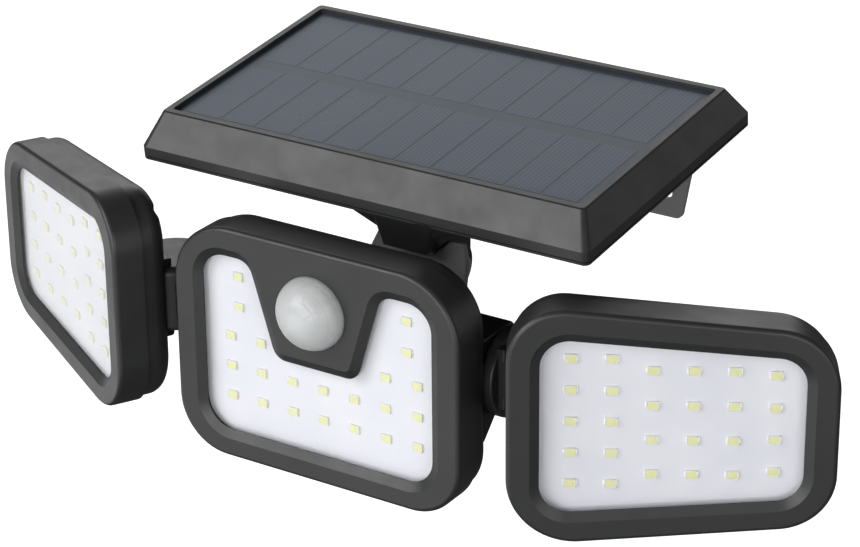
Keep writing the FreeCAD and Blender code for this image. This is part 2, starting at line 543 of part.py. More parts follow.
ox, oy = RIM_HX + BEV_X, RIM_HY + BEV_Y
top = Part.makeLoft([rect_w(RIM_HX, RIM_HY, RIM_R, 0.0), rect_w(ox, oy, OUT_R, -BEV_H)], True, True)
band = rprism(ox, oy, OUT_R, -BEV_H, SEAM_Z)
pf = fuse(top, band)
rim_e = [e for e in flat_edges(pf, "z", 0.0)]
pf = pf.makeFillet(0.7, rim_e)
pf = pf.cut(rprism(REC_HX, REC_HY, 1.2, -REC_D - LAM_T, 1.0))
cav = Part.makeLoft([rect_w(RIM_HX - 2.0, RIM_HY - 2.0, 1.2, -5.2), rect_w(ox - 2.4, oy - 2.4, 1.6, -BEV_H)], True, True)
cav = fuse(cav, rprism(ox - 2.4, oy - 2.4, 1.6, -BEV_H, SEAM_Z - 1))
pf = pf.cut(cav)
PSC = [(-72.5, -42.5), (0, -42.5), (72.5, -42.5), (-72.5, 42.5), (0, 42.5), (72.5, 42.5)]
for (a, b) in PSC:
    bs = cyl(3.4, (a, b, SEAM_Z + 0.9), (0, 0, 1), -4.6 - SEAM_Z - 0.9)
    pf = pf.fuse(bs)
for (a, b) in PSC:
    pf = pf.cut(cyl(1.3, (a, b, SEAM_Z), (0, 0, 1), 7.5))
pf = pf.cut(cyl(3.0, (0, 0, -8), (0, 0, 1), 6))
save("panel_frame", panel_place(pf.removeSplitter()))
save("solar_cells", panel_place(rprism(REC_HX - 0.15, REC_HY - 0.15, 1.1, -REC_D - LAM_T, -REC_D)))

# back shell: outer lip, base plate, tongue and belly
bz = -(BEV_H + BAND_H)
lip = rprism(ox, oy, OUT_R, bz, SEAM_Z - 0.35)
lip = lip.makeFillet(0.6, flat_edges(lip, "z", bz))
shadow = rprism(ox - 0.7, oy - 0.7, OUT_R - 0.7, SEAM_Z - 0.36, SEAM_Z)
tong = rprism(ox - 2.6, oy - 2.6, 1.6, SEAM_Z - 0.5, SEAM_Z + 2.2)
base = fuse(lip, shadow, tong)
base = base.cut(rprism(ox - 4.4, oy - 4.4, 1.0, bz + 2.0, 0))
for (a, b) in PSC:
    base = base.fuse(cyl(4.2, (a, b, bz), (0, 0, 1), SEAM_Z + 0.9 - bz))
base = base.common(rprism(ox, oy, OUT_R, bz - 1, 2))
# notch in the front edge where the two halves are pried apart
base = base.cut(box(21.4, 27.2, -oy - 1, -oy + 1.6, bz - 1, SEAM_Z - 0.5))
base = panel_place(base)


def belly(d, y0, y1):
    P, Rr = offset_poly(BELLY, [0, 6, 5, 5, 5, 5, 6, 0], d)
    return Part.Face(rwire(P, Rr, y0)).extrude(V(0, y1 - y0, 0))


bl = belly(0, BELLY_Y0, BELLY_Y1)
bl = bl.makeFillet(2.0, [e for e in flat_edges(bl, "y", BELLY_Y0) + flat_edges(bl, "y", BELLY_Y1) if e.BoundBox.ZMax < 17.0 or e.BoundBox.XLength < 60])
half_space = panel_place(box(-100, 100, -80, 80, bz - 60, bz + 1.0))
bl = bl.common(half_space)
# nose in front of the neck pivot
nose = Part.Face(Part.makePolygon([V(-NOSE_HX, NOSE_Y, NOSE_Z), V(NOSE_HX, NOSE_Y, NOSE_Z),
                                   V(nose_half(16), NOSE_Y, 16), V(-nose_half(16), NOSE_Y, 16),
                                   V(-NOSE_HX, NOSE_Y, NOSE_Z)])).extrude(V(0, BELLY_Y0 + 1.5 - NOSE_Y, 0))
nose = nose.makeFillet(0.9, [e for e in nose.Edges if e.BoundBox.YMax < NOSE_Y + 0.01 and e.BoundBox.ZMin < 15])
bl = bl.fuse(nose.common(half_space))
wing = [(-WING[0][0], WING[0][1]), (WING[0][0], WING[0][1]), WING[1], WING[2], (WING[2][0], 16.0),
        (-WING[2][0], 16.0), (-WING[2][0], WING[2][1]), (-WING[1][0], WING[1][1])]
wing = Part.Face(rwire(wing, [0, 0, 3, 4, 0, 0, 4, 3], NOSE_Y + 0.4)).extrude(V(0, BELLY_Y0 + 3.0 - NOSE_Y, 0))
wing = wing.makeFillet(0.9, [e for e in flat_edges(wing, "y", NOSE_Y + 0.4) if e.BoundBox.ZMin < 15.9])
bl = bl.fuse(wing.common(half_space))
# ears of the neck pivot
for sx in (-1, 1):
    xa = EAR_X0 if sx > 0 else -EAR_X1
    e1 = cyl(NECK_R, (xa, NECK_Y, NECK_Z), (1, 0, 0), EAR_X1 - EAR_X0)
    e2 = box(xa, xa + EAR_X1 - EAR_X0, NECK_Y - 5.9, NECK_Y + 7.0, NECK_Z, BELLY_Z + 1.5)
    bl = bl.fuse(e1.fuse(e2))
# lug of the lamp pivot
lg = cyl(LAMP_R, (-EAR_IN + 0.4, LAMP_Y, LAMP_Z), (1, 0, 0), 2 * EAR_IN - 0.8)
lg = lg.fuse(box(-EAR_IN + 0.4, EAR_IN - 0.4, BELLY_Y1 - 2.0, LAMP_Y, LAMP_Z - LAMP_R + 2.2, LAMP_Z + LAMP_R))
shell = fuse(base, bl, lg)
inner_b = belly(-WALL, BELLY_Y0 + WALL, BELLY_Y1 - WALL)
up = panel_place(box(-100, 100, -80, 80, bz - 60, bz + 2.5))
shell = shell.cut(inner_b.common(up))
shell = shell.cut(cyl(NECK_BOLT_R + 0.05, (-20, NECK_Y, NECK_Z), (1, 0, 0), 40))
shell = shell.cut(cyl(LAMP_BOLT_R + 0.05, (-30, LAMP_Y, LAMP_Z), (1, 0, 0), 60))
shell = shell.cut(cyl(BTN_R + 0.35, (0, BTN_Y, BELLY_Z - 8), (0, 0, 1), 12))
for (a, b) in PSC:
    h = fuse(cyl(1.5, (a, b, bz - 2), (0, 0, 1), 20), cyl(2.8, (a, b, bz - 2), (0, 0, 1), 3.9))
    shell = shell.cut(panel_place(h))
# posts under the charge board
for (a, b) in ((-24, -64), (24, -64), (-24, -45), (24, -45)):
    shell = shell.fuse(cyl(2.4, (a, b, -7.6), (0, 0, 1), 5.2))
save("back_shell", shell.removeSplitter())


def screw_z(p, zh, length, r=1.3, hr=2.6, ht=1.6):
    """Screw standing on its head, point up."""
    s = cyl(r, (p[0], p[1], zh), (0, 0, 1), length)
    h = cyl(hr, (p[0], p[1], zh - ht), (0, 0, 1), ht)
    h = h.makeFillet(0.6, flat_edges(h, "z", zh - ht))
    k = fuse(box(p[0] - 1.5, p[0] + 1.5, p[1] - 0.3, p[1] + 0.3, zh - ht - 0.1, zh - ht + 0.8),
             box(p[0] - 0.3, p[0] + 0.3, p[1] - 1.5, p[1] + 1.5, zh - ht - 0.1, zh - ht + 0.8))
    return s.fuse(h).cut(k).removeSplitter()


save("panel_screws", Part.makeCompound([panel_place(screw_z(p, bz + 1.9, 7.0)) for p in PSC]))

# seal between frame and back shell, lying on the tongue shoulder
sl = rprism(ox - 2.4, oy - 2.4, 1.6, SEAM_Z + 2.2, SEAM_Z + 3.0).cut(rprism(ox - 4.4, oy - 4.4, 1.0, SEAM_Z + 2.1, SEAM_Z + 3.1))
save("panel_seal", panel_place(sl))

# cell, cradle, board, switch
CELL_Z = BELLY_Z + 20.8
save("battery_cell", fuse(cyl(9.1, (-32.5, -55, CELL_Z), (1, 0, 0), 64.0), cyl(3.2, (31.5, -55, CELL_Z), (1, 0, 0), 1.2)))
cr = box(-36, 36, -65.4, -44.6, CELL_Z - 11.1, CELL_Z + 0.4).cut(cyl(9.2, (-33.6, -55, CELL_Z), (1, 0, 0), 67.2))
cr = cr.cut(box(-33.6, 33.6, -64.2, -45.8, CELL_Z, CELL_Z + 3))
cr = cr.common(belly(-WALL - 0.5, -66, -44))
save("battery_cradle", cr.removeSplitter())
save("charge_board", box(-28, 28, -66.5, -42.8, CELL_Z - 12.7, CELL_Z - 11.1))
save("button_switch", fuse(box(-3, 3, BTN_Y - 3, BTN_Y + 3, CELL_Z - 15.8, CELL_Z - 12.7), cyl(1.7, (0, BTN_Y, CELL_Z - 16.5), (0, 0, 1), 0.8)))
# push button: cap through the belly floor, flange inside
bt = fuse(cyl(BTN_R, (0, BTN_Y, BELLY_Z - 1.7), (0, 0, 1), 4.4), cyl(BTN_R + 1.2, (0, BTN_Y, BELLY_Z + 2.3), (0, 0, 1), 0.7))
bt = bt.makeFillet(0.8, flat_edges(bt, "z", BELLY_Z - 1.7))
save("push_button", bt)

# ---------------------------------------------------------------- wall plate
hz = PLATE_H / 2
wp = Part.Face(rwire([(-PLATE_BOT_HALF, -hz), (PLATE_BOT_HALF, -hz), (PLATE_TOP_HALF, hz), (-PLATE_TOP_HALF, hz)],
                     [PLATE_R] * 4, -PLATE_T)).extrude(V(0, PLATE_T, 0))
wp = wp.makeFillet(0.6, flat_edges(wp, "y", -PLATE_T))
for sx in (-1, 1):
    xa = EAR_IN if sx > 0 else -EAR_OUT
    c = cyl(LAMP_R, (xa, LAMP_Y, LAMP_Z), (1, 0, 0), 4.0)
    g = Part.Face(Part.makePolygon([V(xa, LAMP_Y, LAMP_Z + LAMP_R), V(xa, -PLATE_T + 0.5, LAMP_Z + LAMP_R + 3.0),
                                    V(xa, -PLATE_T + 0.5, LAMP_Z - LAMP_R - 5.0), V(xa, LAMP_Y, LAMP_Z - LAMP_R),
                                    V(xa, LAMP_Y, LAMP_Z + LAMP_R)])).extrude(V(4.0, 0, 0))
    wp = wp.fuse(c.fuse(g))
wp = wp.cut(cyl(LAMP_BOLT_R + 0.05, (-30, LAMP_Y, LAMP_Z), (1, 0, 0), 60))
for sx in (-1, 1):
    for sz in (-1, 1):
        wp = wp.cut(cyl(PLATE_HOLE_R, (sx * PLATE_HOLE_X / 2, -10, sz * PLATE_HOLE_Z / 2), (0, 1, 0), 20))
save("wall_plate", wp.removeSplitter())
hb = cyl(6.0, (EAR_OUT + 1.0, LAMP_Y, LAMP_Z), (1, 0, 0), 3.6)
hb = hb.makeFillet(1.4, flat_edges(hb, "x", EAR_OUT + 4.6))
lb = fuse(cyl(LAMP_BOLT_R, (-EAR_OUT - 7.0, LAMP_Y, LAMP_Z), (1, 0, 0), 2 * EAR_OUT + 8.0), hb)
lb = lb.cut(box(EAR_OUT + 3.2, EAR_OUT + 5, LAMP_Y - 0.6, LAMP_Y + 0.6, LAMP_Z - 4.2, LAMP_Z + 4.2))
save("lamp_bolt", lb)
save("lamp_nut", hexnut(10.0, 4.8, LAMP_BOLT_R, -EAR_OUT - 1.0 - 4.8, LAMP_Y, LAMP_Z))
wsh = []
for x in (-EAR_OUT - 1.0, EAR_OUT):
    wsh.append(cyl(6.2, (x, LAMP_Y, LAMP_Z), (1, 0, 0), 1.0).cut(cyl(LAMP_BOLT_R + 0.1, (x - 1, LAMP_Y, LAMP_Z), (1, 0, 0), 3)))
save("lamp_washers", Part.makeCompound(wsh))

# ---------------------------------------------------------------- write
for name in sorted(OUT):
    s = OUT[name]
    ok = s.isValid()
    print("%-24s solids %2d  valid %s  vol %9.1f mm3" % (name, len(s.Solids), ok, s.Volume))
    s.exportStep("parts/%s.step" % name)
print(len(OUT), "nodes")
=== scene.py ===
import json
import math

import bmesh
import bpy
from mathutils import Matrix, Vector


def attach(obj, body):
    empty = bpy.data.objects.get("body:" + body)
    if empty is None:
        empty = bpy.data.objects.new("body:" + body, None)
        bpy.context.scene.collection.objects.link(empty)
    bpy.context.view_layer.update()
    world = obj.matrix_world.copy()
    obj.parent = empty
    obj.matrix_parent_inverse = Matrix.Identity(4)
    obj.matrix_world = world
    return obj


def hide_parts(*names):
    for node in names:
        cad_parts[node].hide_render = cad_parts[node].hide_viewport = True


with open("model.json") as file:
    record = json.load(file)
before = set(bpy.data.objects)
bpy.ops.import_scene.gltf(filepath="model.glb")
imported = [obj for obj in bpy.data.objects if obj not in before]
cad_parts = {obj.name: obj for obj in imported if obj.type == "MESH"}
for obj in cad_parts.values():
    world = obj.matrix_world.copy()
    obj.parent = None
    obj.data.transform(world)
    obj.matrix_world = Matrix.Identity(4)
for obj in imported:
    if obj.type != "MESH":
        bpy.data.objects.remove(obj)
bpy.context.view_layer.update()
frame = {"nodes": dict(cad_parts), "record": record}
MM = 0.001
scene = bpy.context.scene

# ------------------------------------------------------------------ positions
# Millimetres in the part's frame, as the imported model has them.
MID = Matrix.Translation(Vector((0.0, -132.7, -35.8)))


def side_matrix(sign):
    """From a side head's own frame (u right, y into the head, v up) to the part's frame."""
    m = Matrix.Translation(Vector((112.27, -114.56, -34.6))) @ Matrix.Rotation(math.radians(30.0), 4, "Z")
    if sign < 0:
        axis = Matrix.Translation(Vector((70.5, -108.0, 0.0)))
        m = Matrix.Diagonal(Vector((-1.0, 1.0, 1.0, 1.0))) @ axis @ Matrix.Rotation(math.radians(-1.1), 4, "Z") @ axis.inverted() @ m
    return m


PANEL = Matrix.Translation(Vector((0.0, -60.0, 27.0))) @ Matrix.Rotation(math.radians(6.16), 4, "X")

mid_leds = [(u, v) for u in (-33.15, -21.85, 23.55, 34.85) for v in (-18.7, -8.6, 1.5)]
mid_leds += [(u, v) for u in (-10.45, 0.85, 12.15) for v in (-18.7, -8.6)]
mid_leds += [(u, v) for u in (-29.65, 31.35) for v in (11.7, 21.8)]
side_leds = []
for u in (-29.1, -17.4):
    side_leds += [(u, 0.9 + 10.0 * k) for k in (-2, -1, 0, 1, 2)]
for u in (-5.7, 6.0, 17.7):
    side_leds += [(u, 0.8 + 11.05 * k) for k in (-1.5, -0.5, 0.5, 1.5)]
side_leds += [(29.4, 0.9 + 10.27 * k) for k in (-1.5, -0.5, 0.5, 1.5)]
BOARD_Y = 4.9
PIR_V, PIR_R, PIR_H = 18.3, 11.6, 9.0


# ------------------------------------------------------------------ materials
def new_mat(name):
    m = bpy.data.materials.new(name)
    m.use_nodes = True
    nt = m.node_tree
    for n in list(nt.nodes):
        nt.nodes.remove(n)
    out = nt.nodes.new("ShaderNodeOutputMaterial")
    p = nt.nodes.new("ShaderNodeBsdfPrincipled")
    nt.links.new(p.outputs[0], out.inputs[0])
    return m, nt, p, out


def noise(nt, scale, detail=2.0, rough=0.5, src=None):
    n = nt.nodes.new("ShaderNodeTexNoise")
    n.inputs["Scale"].default_value = scale
    n.inputs["Detail"].default_value = detail
    n.inputs["Roughness"].default_value = rough
    tc = nt.nodes.new("ShaderNodeTexCoord")
    nt.links.new(tc.outputs["Object"], n.inputs["Vector"])
    return n


def ramp(nt, src, stops):
    r = nt.nodes.new("ShaderNodeValToRGB")
    while len(r.color_ramp.elements) < len(stops):
        r.color_ramp.elements.new(0.5)
    for e, (pos, col) in zip(r.color_ramp.elements, stops):
        e.position = pos
        e.color = (*col, 1.0)
    nt.links.new(src, r.inputs["Fac"])
    return r


def maprange(nt, src, a, b, c, d):
    m = nt.nodes.new("ShaderNodeMapRange")
    for k, v in zip((1, 2, 3, 4), (a, b, c, d)):
        m.inputs[k].default_value = v
    nt.links.new(src, m.inputs[0])
    return m


def bump(nt, p, height, strength, distance):
    b = nt.nodes.new("ShaderNodeBump")
    b.inputs["Strength"].default_value = strength
    b.inputs["Distance"].default_value = distance
    nt.links.new(height, b.inputs["Height"])
    nt.links.new(b.outputs[0], p.inputs["Normal"])
    return b


def plastic(name, dark, light, rough, grain=900.0, strength=0.12, spread=0.05):
    """Moulded plastic: fine spark-eroded grain and faint clouding."""
    m, nt, p, _ = new_mat(name)
    clouds = noise(nt, 38.0, 3.0, 0.55)
    r = ramp(nt, clouds.outputs["Fac"], [(0.3, dark), (0.72, light)])
    nt.links.new(r.outputs[0], p.inputs["Base Color"])
    patches = noise(nt, 90.0, 3.0, 0.6)
    q = maprange(nt, patches.outputs["Fac"], 0.3, 0.7, rough - spread, rough + spread)
    nt.links.new(q.outputs[0], p.inputs["Roughness"])
    g = noise(nt, grain, 2.0, 0.6)
    bump(nt, p, g.outputs["Fac"], strength, 0.0001)
    return m


def metal(name, col, rough, scale=700.0):
    m, nt, p, _ = new_mat(name)
    n = noise(nt, scale, 3.0, 0.6)
    r = ramp(nt, n.outputs["Fac"], [(0.3, tuple(0.82 * c for c in col)), (0.7, col)])
    nt.links.new(r.outputs[0], p.inputs["Base Color"])
    p.inputs["Metallic"].default_value = 1.0
    q = maprange(nt, n.outputs["Fac"], 0.3, 0.7, rough - 0.06, rough + 0.08)
    nt.links.new(q.outputs[0], p.inputs["Roughness"])
    return m


M_BODY = plastic("body_plastic", (0.0235, 0.024, 0.0245), (0.029, 0.0295, 0.030), 0.40)
# bracket plastic: the body's dark plastic painted a much lighter grey, as painted light standing in for the
# light the wall plate and neck plate catch under the panel
M_BRACKET_LIT = plastic("bracket_plastic", (0.225, 0.227, 0.227), (0.255, 0.257, 0.257), 0.42)
# pin plastic: a slightly lighter grade of dark plastic, raised a little further as painted light to lift the
# pivot bar and drums out of the shade they sit in
M_PIN_SHADE_LIFTED = plastic("pin_plastic", (0.032, 0.032, 0.0325), (0.040, 0.040, 0.0405), 0.36, 700.0, 0.08)
M_INNER = plastic("inner_plastic", (0.014, 0.014, 0.014), (0.02, 0.02, 0.02), 0.55, 600.0, 0.12)
M_RUBBER = plastic("seal_rubber", (0.010, 0.010, 0.010), (0.015, 0.015, 0.015), 0.72, 500.0, 0.2)
M_SCREW = metal("zinc_screw", (0.55, 0.555, 0.56), 0.34)
M_CAN = metal("sensor_can", (0.66, 0.64, 0.6), 0.28)
M_SOLDER = metal("solder", (0.72, 0.72, 0.73), 0.26, 1500.0)
M_GREEN = plastic("circuit_board", (0.012, 0.09, 0.035), (0.018, 0.12, 0.045), 0.38, 500.0, 0.06)
M_CELLWRAP = plastic("cell_wrap", (0.02, 0.085, 0.21), (0.03, 0.11, 0.26), 0.3, 300.0, 0.03)

# white light board: lacquered, very slightly lilac, with faint clouding and a fine grain
M_BOARD, nt, p, _ = new_mat("white_board")
n1 = noise(nt, 55.0, 2.0, 0.5)
r = ramp(nt, n1.outputs["Fac"], [(0.3, (0.79, 0.79, 0.835)), (0.7, (0.845, 0.845, 0.875))])
nt.links.new(r.outputs[0], p.inputs["Base Color"])
q = maprange(nt, n1.outputs["Fac"], 0.3, 0.7, 0.42, 0.52)
nt.links.new(q.outputs[0], p.inputs["Roughness"])
g = noise(nt, 420.0, 2.0, 0.5)
bump(nt, p, g.outputs["Fac"], 0.05, 0.0001)

# light packages: white moulded body, yellow-green phosphor gel
M_LEDBODY, nt, p, _ = new_mat("led_body")
n1 = noise(nt, 900.0, 2.0, 0.5)
r = ramp(nt, n1.outputs["Fac"], [(0.3, (0.78, 0.76, 0.66)), (0.7, (0.86, 0.84, 0.74))])
nt.links.new(r.outputs[0], p.inputs["Base Color"])
p.inputs["Roughness"].default_value = 0.35

M_PHOS, nt, p, _ = new_mat("led_phosphor")
n1 = noise(nt, 420.0, 2.0, 0.5)
r = ramp(nt, n1.outputs["Fac"], [(0.25, (0.80, 0.84, 0.36)), (0.75, (0.88, 0.86, 0.44))])
nt.links.new(r.outputs[0], p.inputs["Base Color"])
p.inputs["Roughness"].default_value = 0.22
p.inputs["Subsurface Weight"].default_value = 0.15
p.inputs["Subsurface Radius"].default_value = (0.5, 0.45, 0.15)
p.inputs["Subsurface Scale"].default_value = 0.0006

# milky sensor dome
M_DOME, nt, p, _ = new_mat("milky_dome")
n1 = noise(nt, 60.0, 2.0, 0.5)
r = ramp(nt, n1.outputs["Fac"], [(0.3, (0.665, 0.695, 0.70)), (0.7, (0.725, 0.75, 0.75))])
nt.links.new(r.outputs[0], p.inputs["Base Color"])
q = maprange(nt, n1.outputs["Fac"], 0.3, 0.7, 0.30, 0.38)
nt.links.new(q.outputs[0], p.inputs["Roughness"])
p.inputs["Subsurface Weight"].default_value = 0.8
p.inputs["Subsurface Radius"].default_value = (1.0, 1.0, 1.0)
p.inputs["Subsurface Scale"].default_value = 0.005
p.inputs["Specular IOR Level"].default_value = 0.55

# clear window: lets light straight through and mirrors by its angle
M_LENS, nt, p, out = new_mat("clear_lens")
p.inputs["Base Color"].default_value = (0.97, 0.975, 0.985, 1.0)
p.inputs["Transmission Weight"].default_value = 1.0
p.inputs["IOR"].default_value = 1.49
p.inputs["Roughness"].default_value = 0.015
p.inputs["Sheen Weight"].default_value = 1.0
p.inputs["Sheen Roughness"].default_value = 0.3
p.inputs["Sheen Tint"].default_value = (0.98, 0.975, 1.0, 1.0)
lp = nt.nodes.new("ShaderNodeLightPath")
tr = nt.nodes.new("ShaderNodeBsdfTransparent")
tr.inputs["Color"].default_value = (0.95, 0.955, 0.965, 1.0)
mx = nt.nodes.new("ShaderNodeMixShader")
mth = nt.nodes.new("ShaderNodeMath")
mth.operation = "MAXIMUM"
nt.links.new(lp.outputs["Is Shadow Ray"], mth.inputs[0])
nt.links.new(lp.outputs["Is Diffuse Ray"], mth.inputs[1])
nt.links.new(mth.outputs[0], mx.inputs[0])
nt.links.new(p.outputs[0], mx.inputs[1])
nt.links.new(tr.outputs[0], mx.inputs[2])
nt.links.new(mx.outputs[0], out.inputs[0])

# solar cells: slate blue wafers with fine printed fingers, under satin film
M_PV, nt, p, _ = new_mat("solar_cell")
tc = nt.nodes.new("ShaderNodeTexCoord")
sep = nt.nodes.new("ShaderNodeSeparateXYZ")
nt.links.new(tc.outputs["UV"], sep.inputs[0])


def fract_line(axis, per_mm, width):
    a = nt.nodes.new("ShaderNodeMath")
    a.operation = "MULTIPLY"
    a.inputs[1].default_value = per_mm
    nt.links.new(sep.outputs[axis], a.inputs[0])
    b = nt.nodes.new("ShaderNodeMath")
    b.operation = "FRACT"
    nt.links.new(a.outputs[0], b.inputs[0])
    c = nt.nodes.new("ShaderNodeMath")
    c.operation = "LESS_THAN"
    c.inputs[1].default_value = width
    nt.links.new(b.outputs[0], c.inputs[0])
    return c


fing = fract_line(0, 1 / 1.38 * 100.0, 0.14)
n1 = noise(nt, 24.0, 3.0, 0.6)
r = ramp(nt, n1.outputs["Fac"], [(0.3, (0.043, 0.065, 0.110)), (0.7, (0.055, 0.080, 0.132))])
mixc = nt.nodes.new("ShaderNodeMix")
mixc.data_type = "RGBA"
nt.links.new(fing.outputs[0], mixc.inputs[0])
nt.links.new(r.outputs[0], mixc.inputs[6])
mixc.inputs[7].default_value = (0.11, 0.135, 0.165, 1.0)
nt.links.new(mixc.outputs[2], p.inputs["Base Color"])
p.inputs["Specular IOR Level"].default_value = 0.2
q = maprange(nt, n1.outputs["Fac"], 0.3, 0.7, 0.26, 0.34)
nt.links.new(q.outputs[0], p.inputs["Roughness"])

M_PVGAP, nt, p, _ = new_mat("solar_backing")
n1 = noise(nt, 40.0, 3.0, 0.6)
r = ramp(nt, n1.outputs["Fac"], [(0.3, (0.047, 0.068, 0.093)), (0.7, (0.056, 0.080, 0.108))])
nt.links.new(r.outputs[0], p.inputs["Base Color"])
p.inputs["Specular IOR Level"].default_value = 0.2
q = maprange(nt, n1.outputs["Fac"], 0.3, 0.7, 0.28, 0.36)
nt.links.new(q.outputs[0], p.inputs["Roughness"])

M_PVEDGE = plastic("solar_edge", (0.012, 0.012, 0.013), (0.018, 0.018, 0.019), 0.4, 400.0, 0.05)

SLOT_MAT = {
    "dark_plastic": M_BODY, "bracket_plastic": M_BRACKET_LIT, "pin_plastic": M_PIN_SHADE_LIFTED, "inner_plastic": M_INNER, "clear_lens": M_LENS,
    "white_board": M_BOARD, "led_phosphor": M_PHOS, "milky_dome": M_DOME, "sensor_can": M_CAN,
    "seal_rubber": M_RUBBER, "zinc_screw": M_SCREW, "solar_cell": M_PV, "cell_wrap": M_CELLWRAP,
    "circuit_board": M_GREEN,
}
for sp in frame["record"]["subparts"]:
    o = frame["nodes"].get(sp["node"])
    if o is None:
        continue
    m = SLOT_MAT[sp["material_slot"]]
    if not o.material_slots:
        o.data.materials.append(m)
    for s in o.material_slots:
        s.material = m


# ------------------------------------------------------------------ mesh pieces
def make_object(name, bm, mats, matrix=None, smooth_angle=32.0):
    if matrix is not None:
        bmesh.ops.transform(bm, matrix=matrix, verts=bm.verts)
        if matrix.determinant() < 0:
            bmesh.ops.reverse_faces(bm, faces=bm.faces)
    bmesh.ops.scale(bm, vec=(MM, MM, MM), verts=bm.verts)
    me = bpy.data.meshes.new(name)
    bm.to_mesh(me)
    bm.free()
    for m in mats:
        me.materials.append(m)
    me.shade_smooth()
    me.set_sharp_from_angle(angle=math.radians(smooth_angle))
    o = bpy.data.objects.new(name, me)
    scene.collection.objects.link(o)
    return o


def ring(bm, pts):
    return [bm.verts.new(p) for p in pts]


def bridge(bm, a, b, mat=0):
    n = len(a)
    for i in range(n):
        f = bm.faces.new((a[i], a[(i + 1) % n], b[(i + 1) % n], b[i]))
        f.material_index = mat


def round_rect(w, h, r, seg, y, cx=0.0, cz=0.0):
    """Points of a rounded rectangle in the plane y, seen from -Y counter-clockwise."""
    out = []
    for (sx, sz, a0) in ((1, 1, 0), (-1, 1, 90), (-1, -1, 180), (1, -1, 270)):
        for i in range(seg + 1):
            a = math.radians(a0 + 90.0 * i / seg)
            out.append((cx + sx * (w / 2 - r) + r * math.cos(a), y, cz + sz * (h / 2 - r) + r * math.sin(a)))
    return out


def led_package(bm, u, v):
    """A 3.5 x 2.8 mm package: bevelled white body and sunk cup of phosphor; the end contacts are added by
    contact().
    """
    y0 = BOARD_Y
    w, h, t = 3.5, 2.8, 0.8
    loops = [
        round_rect(w, h, 0.12, 2, y0, u, v),
        round_rect(w, h, 0.12, 2, y0 - t + 0.1, u, v),
        round_rect(w - 0.2, h - 0.2, 0.1, 2, y0 - t, u, v),
        round_rect(w - 0.45, h - 0.42, 0.4, 2, y0 - t, u, v),
        round_rect(w - 0.6, h - 0.55, 0.35, 2, y0 - t + 0.10, u, v),
    ]
    rs = [ring(bm, p) for p in loops]
    for a, b in zip(rs[:-1], rs[1:]):
        bridge(bm, a, b, 0)
    inner = ring(bm, round_rect(w - 1.4, h - 1.2, 0.3, 2, y0 - t + 0.05, u, v))
    bridge(bm, rs[-1], inner, 1)
    f = bm.faces.new(inner)
    f.material_index = 1
    f = bm.faces.new(list(reversed(rs[0])))
    f.material_index = 0


def contact(bm, cx, cz, w, h, y0, y1, mat):
    a = ring(bm, round_rect(w, h, 0.12, 2, y0, cx, cz))
    b = ring(bm, round_rect(w, h, 0.12, 2, y1 + 0.02, cx, cz))
    c = ring(bm, round_rect(w - 0.08, h - 0.08, 0.1, 2, y1, cx, cz))
    bridge(bm, a, b, mat)
    bridge(bm, b, c, mat)
    bm.faces.new(c).material_index = mat
    bm.faces.new(list(reversed(a))).material_index = mat


def build_leds(name, spots, matrix, body, node):
    bm = bmesh.new()
    for (u, v) in spots:
        led_package(bm, u, v)
        for s in (-1, 1):
            contact(bm, u + s * 1.83, v, 0.42, 1.9, BOARD_Y, BOARD_Y - 0.16, 2)
    bmesh.ops.recalc_face_normals(bm, faces=bm.faces)
    o = make_object(name, bm, [M_LEDBODY, M_PHOS, M_SOLDER], matrix)
    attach(o, body)
    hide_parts(node)
    return o


build_leds("middle_light_packages", mid_leds, MID, "middle_head", "middle_leds")
build_leds("right_light_packages", side_leds, side_matrix(1), "right_head", "right_leds")
build_leds("left_light_packages", side_leds, side_matrix(-1), "left_head", "left_leds")


# sensor dome: rings of small lens facets with fine valleys between them
def facet(theta, phi):
    """How far the surface stands in below the smooth cap, in mm, from the facet layout."""
    edges = [0.0, 15.0, 36.0, 57.0, 76.0, 90.0]
    counts = [1, 6, 10, 14, 18]
    t = math.degrees(theta)
    for k in range(5):
        if t <= edges[k + 1] or k == 4:
            a = (t - edges[k]) / (edges[k + 1] - edges[k])
            w = (phi / (2 * math.pi) * counts[k] + 0.5 * (k % 2)) % 1.0
            da = min(a, 1 - a) if k > 0 else 1 - a
            dw = min(w, 1 - w) if counts[k] > 1 else 1.0
            span = (edges[k + 1] - edges[k]) * 0.2
            wid = 360.0 / counts[k] * math.sin(max(theta, 0.05)) * 0.2
            d = min(da * span, dw * wid)
            groove = 0.045 * math.exp(-((d / 0.34) ** 2))
            crown = 0.035 * (1 - min(1.0, d / 1.8)) ** 2
            fade = min(1.0, max(0.0, (90.0 - t) / 6.0))
            return (groove + crown) * fade
    return 0.0


bm = bmesh.new()
NT, NP = 96, 288
rows = []
for i in range(1, NT + 1):
    th = 0.5 * math.pi * i / NT
    row = []
    for j in range(NP):
        ph = 2 * math.pi * j / NP
        d = facet(th, ph)
        nx, ny = math.sin(th) / PIR_R, math.cos(th) / PIR_H
        ln = math.hypot(nx, ny)
        r_ = PIR_R * math.sin(th) - d * nx / ln
        y_ = -(PIR_H * math.cos(th) - d * ny / ln)
        row.append(bm.verts.new((r_ * math.cos(ph), y_, PIR_V + r_ * math.sin(ph))))
    rows.append(row)
tip = bm.verts.new((0.0, -(PIR_H - facet(0.0, 0.0)), PIR_V))
for j in range(NP):
    bm.faces.new((tip, rows[0][(j + 1) % NP], rows[0][j]))
for a, b in zip(rows[:-1], rows[1:]):
    for j in range(NP):
        bm.faces.new((a[j], a[(j + 1) % NP], b[(j + 1) % NP], b[j]))


def turned(bm, prev, prof, n=NP):
    for (r_, y_) in prof:
        nxt = [bm.verts.new((r_ * math.cos(2 * math.pi * j / n), y_, PIR_V + r_ * math.sin(2 * math.pi * j / n))) for j in range(n)]
        for j in range(n):
            bm.faces.new((prev[j], prev[(j + 1) % n], nxt[(j + 1) % n], nxt[j]))
        prev = nxt
    return prev


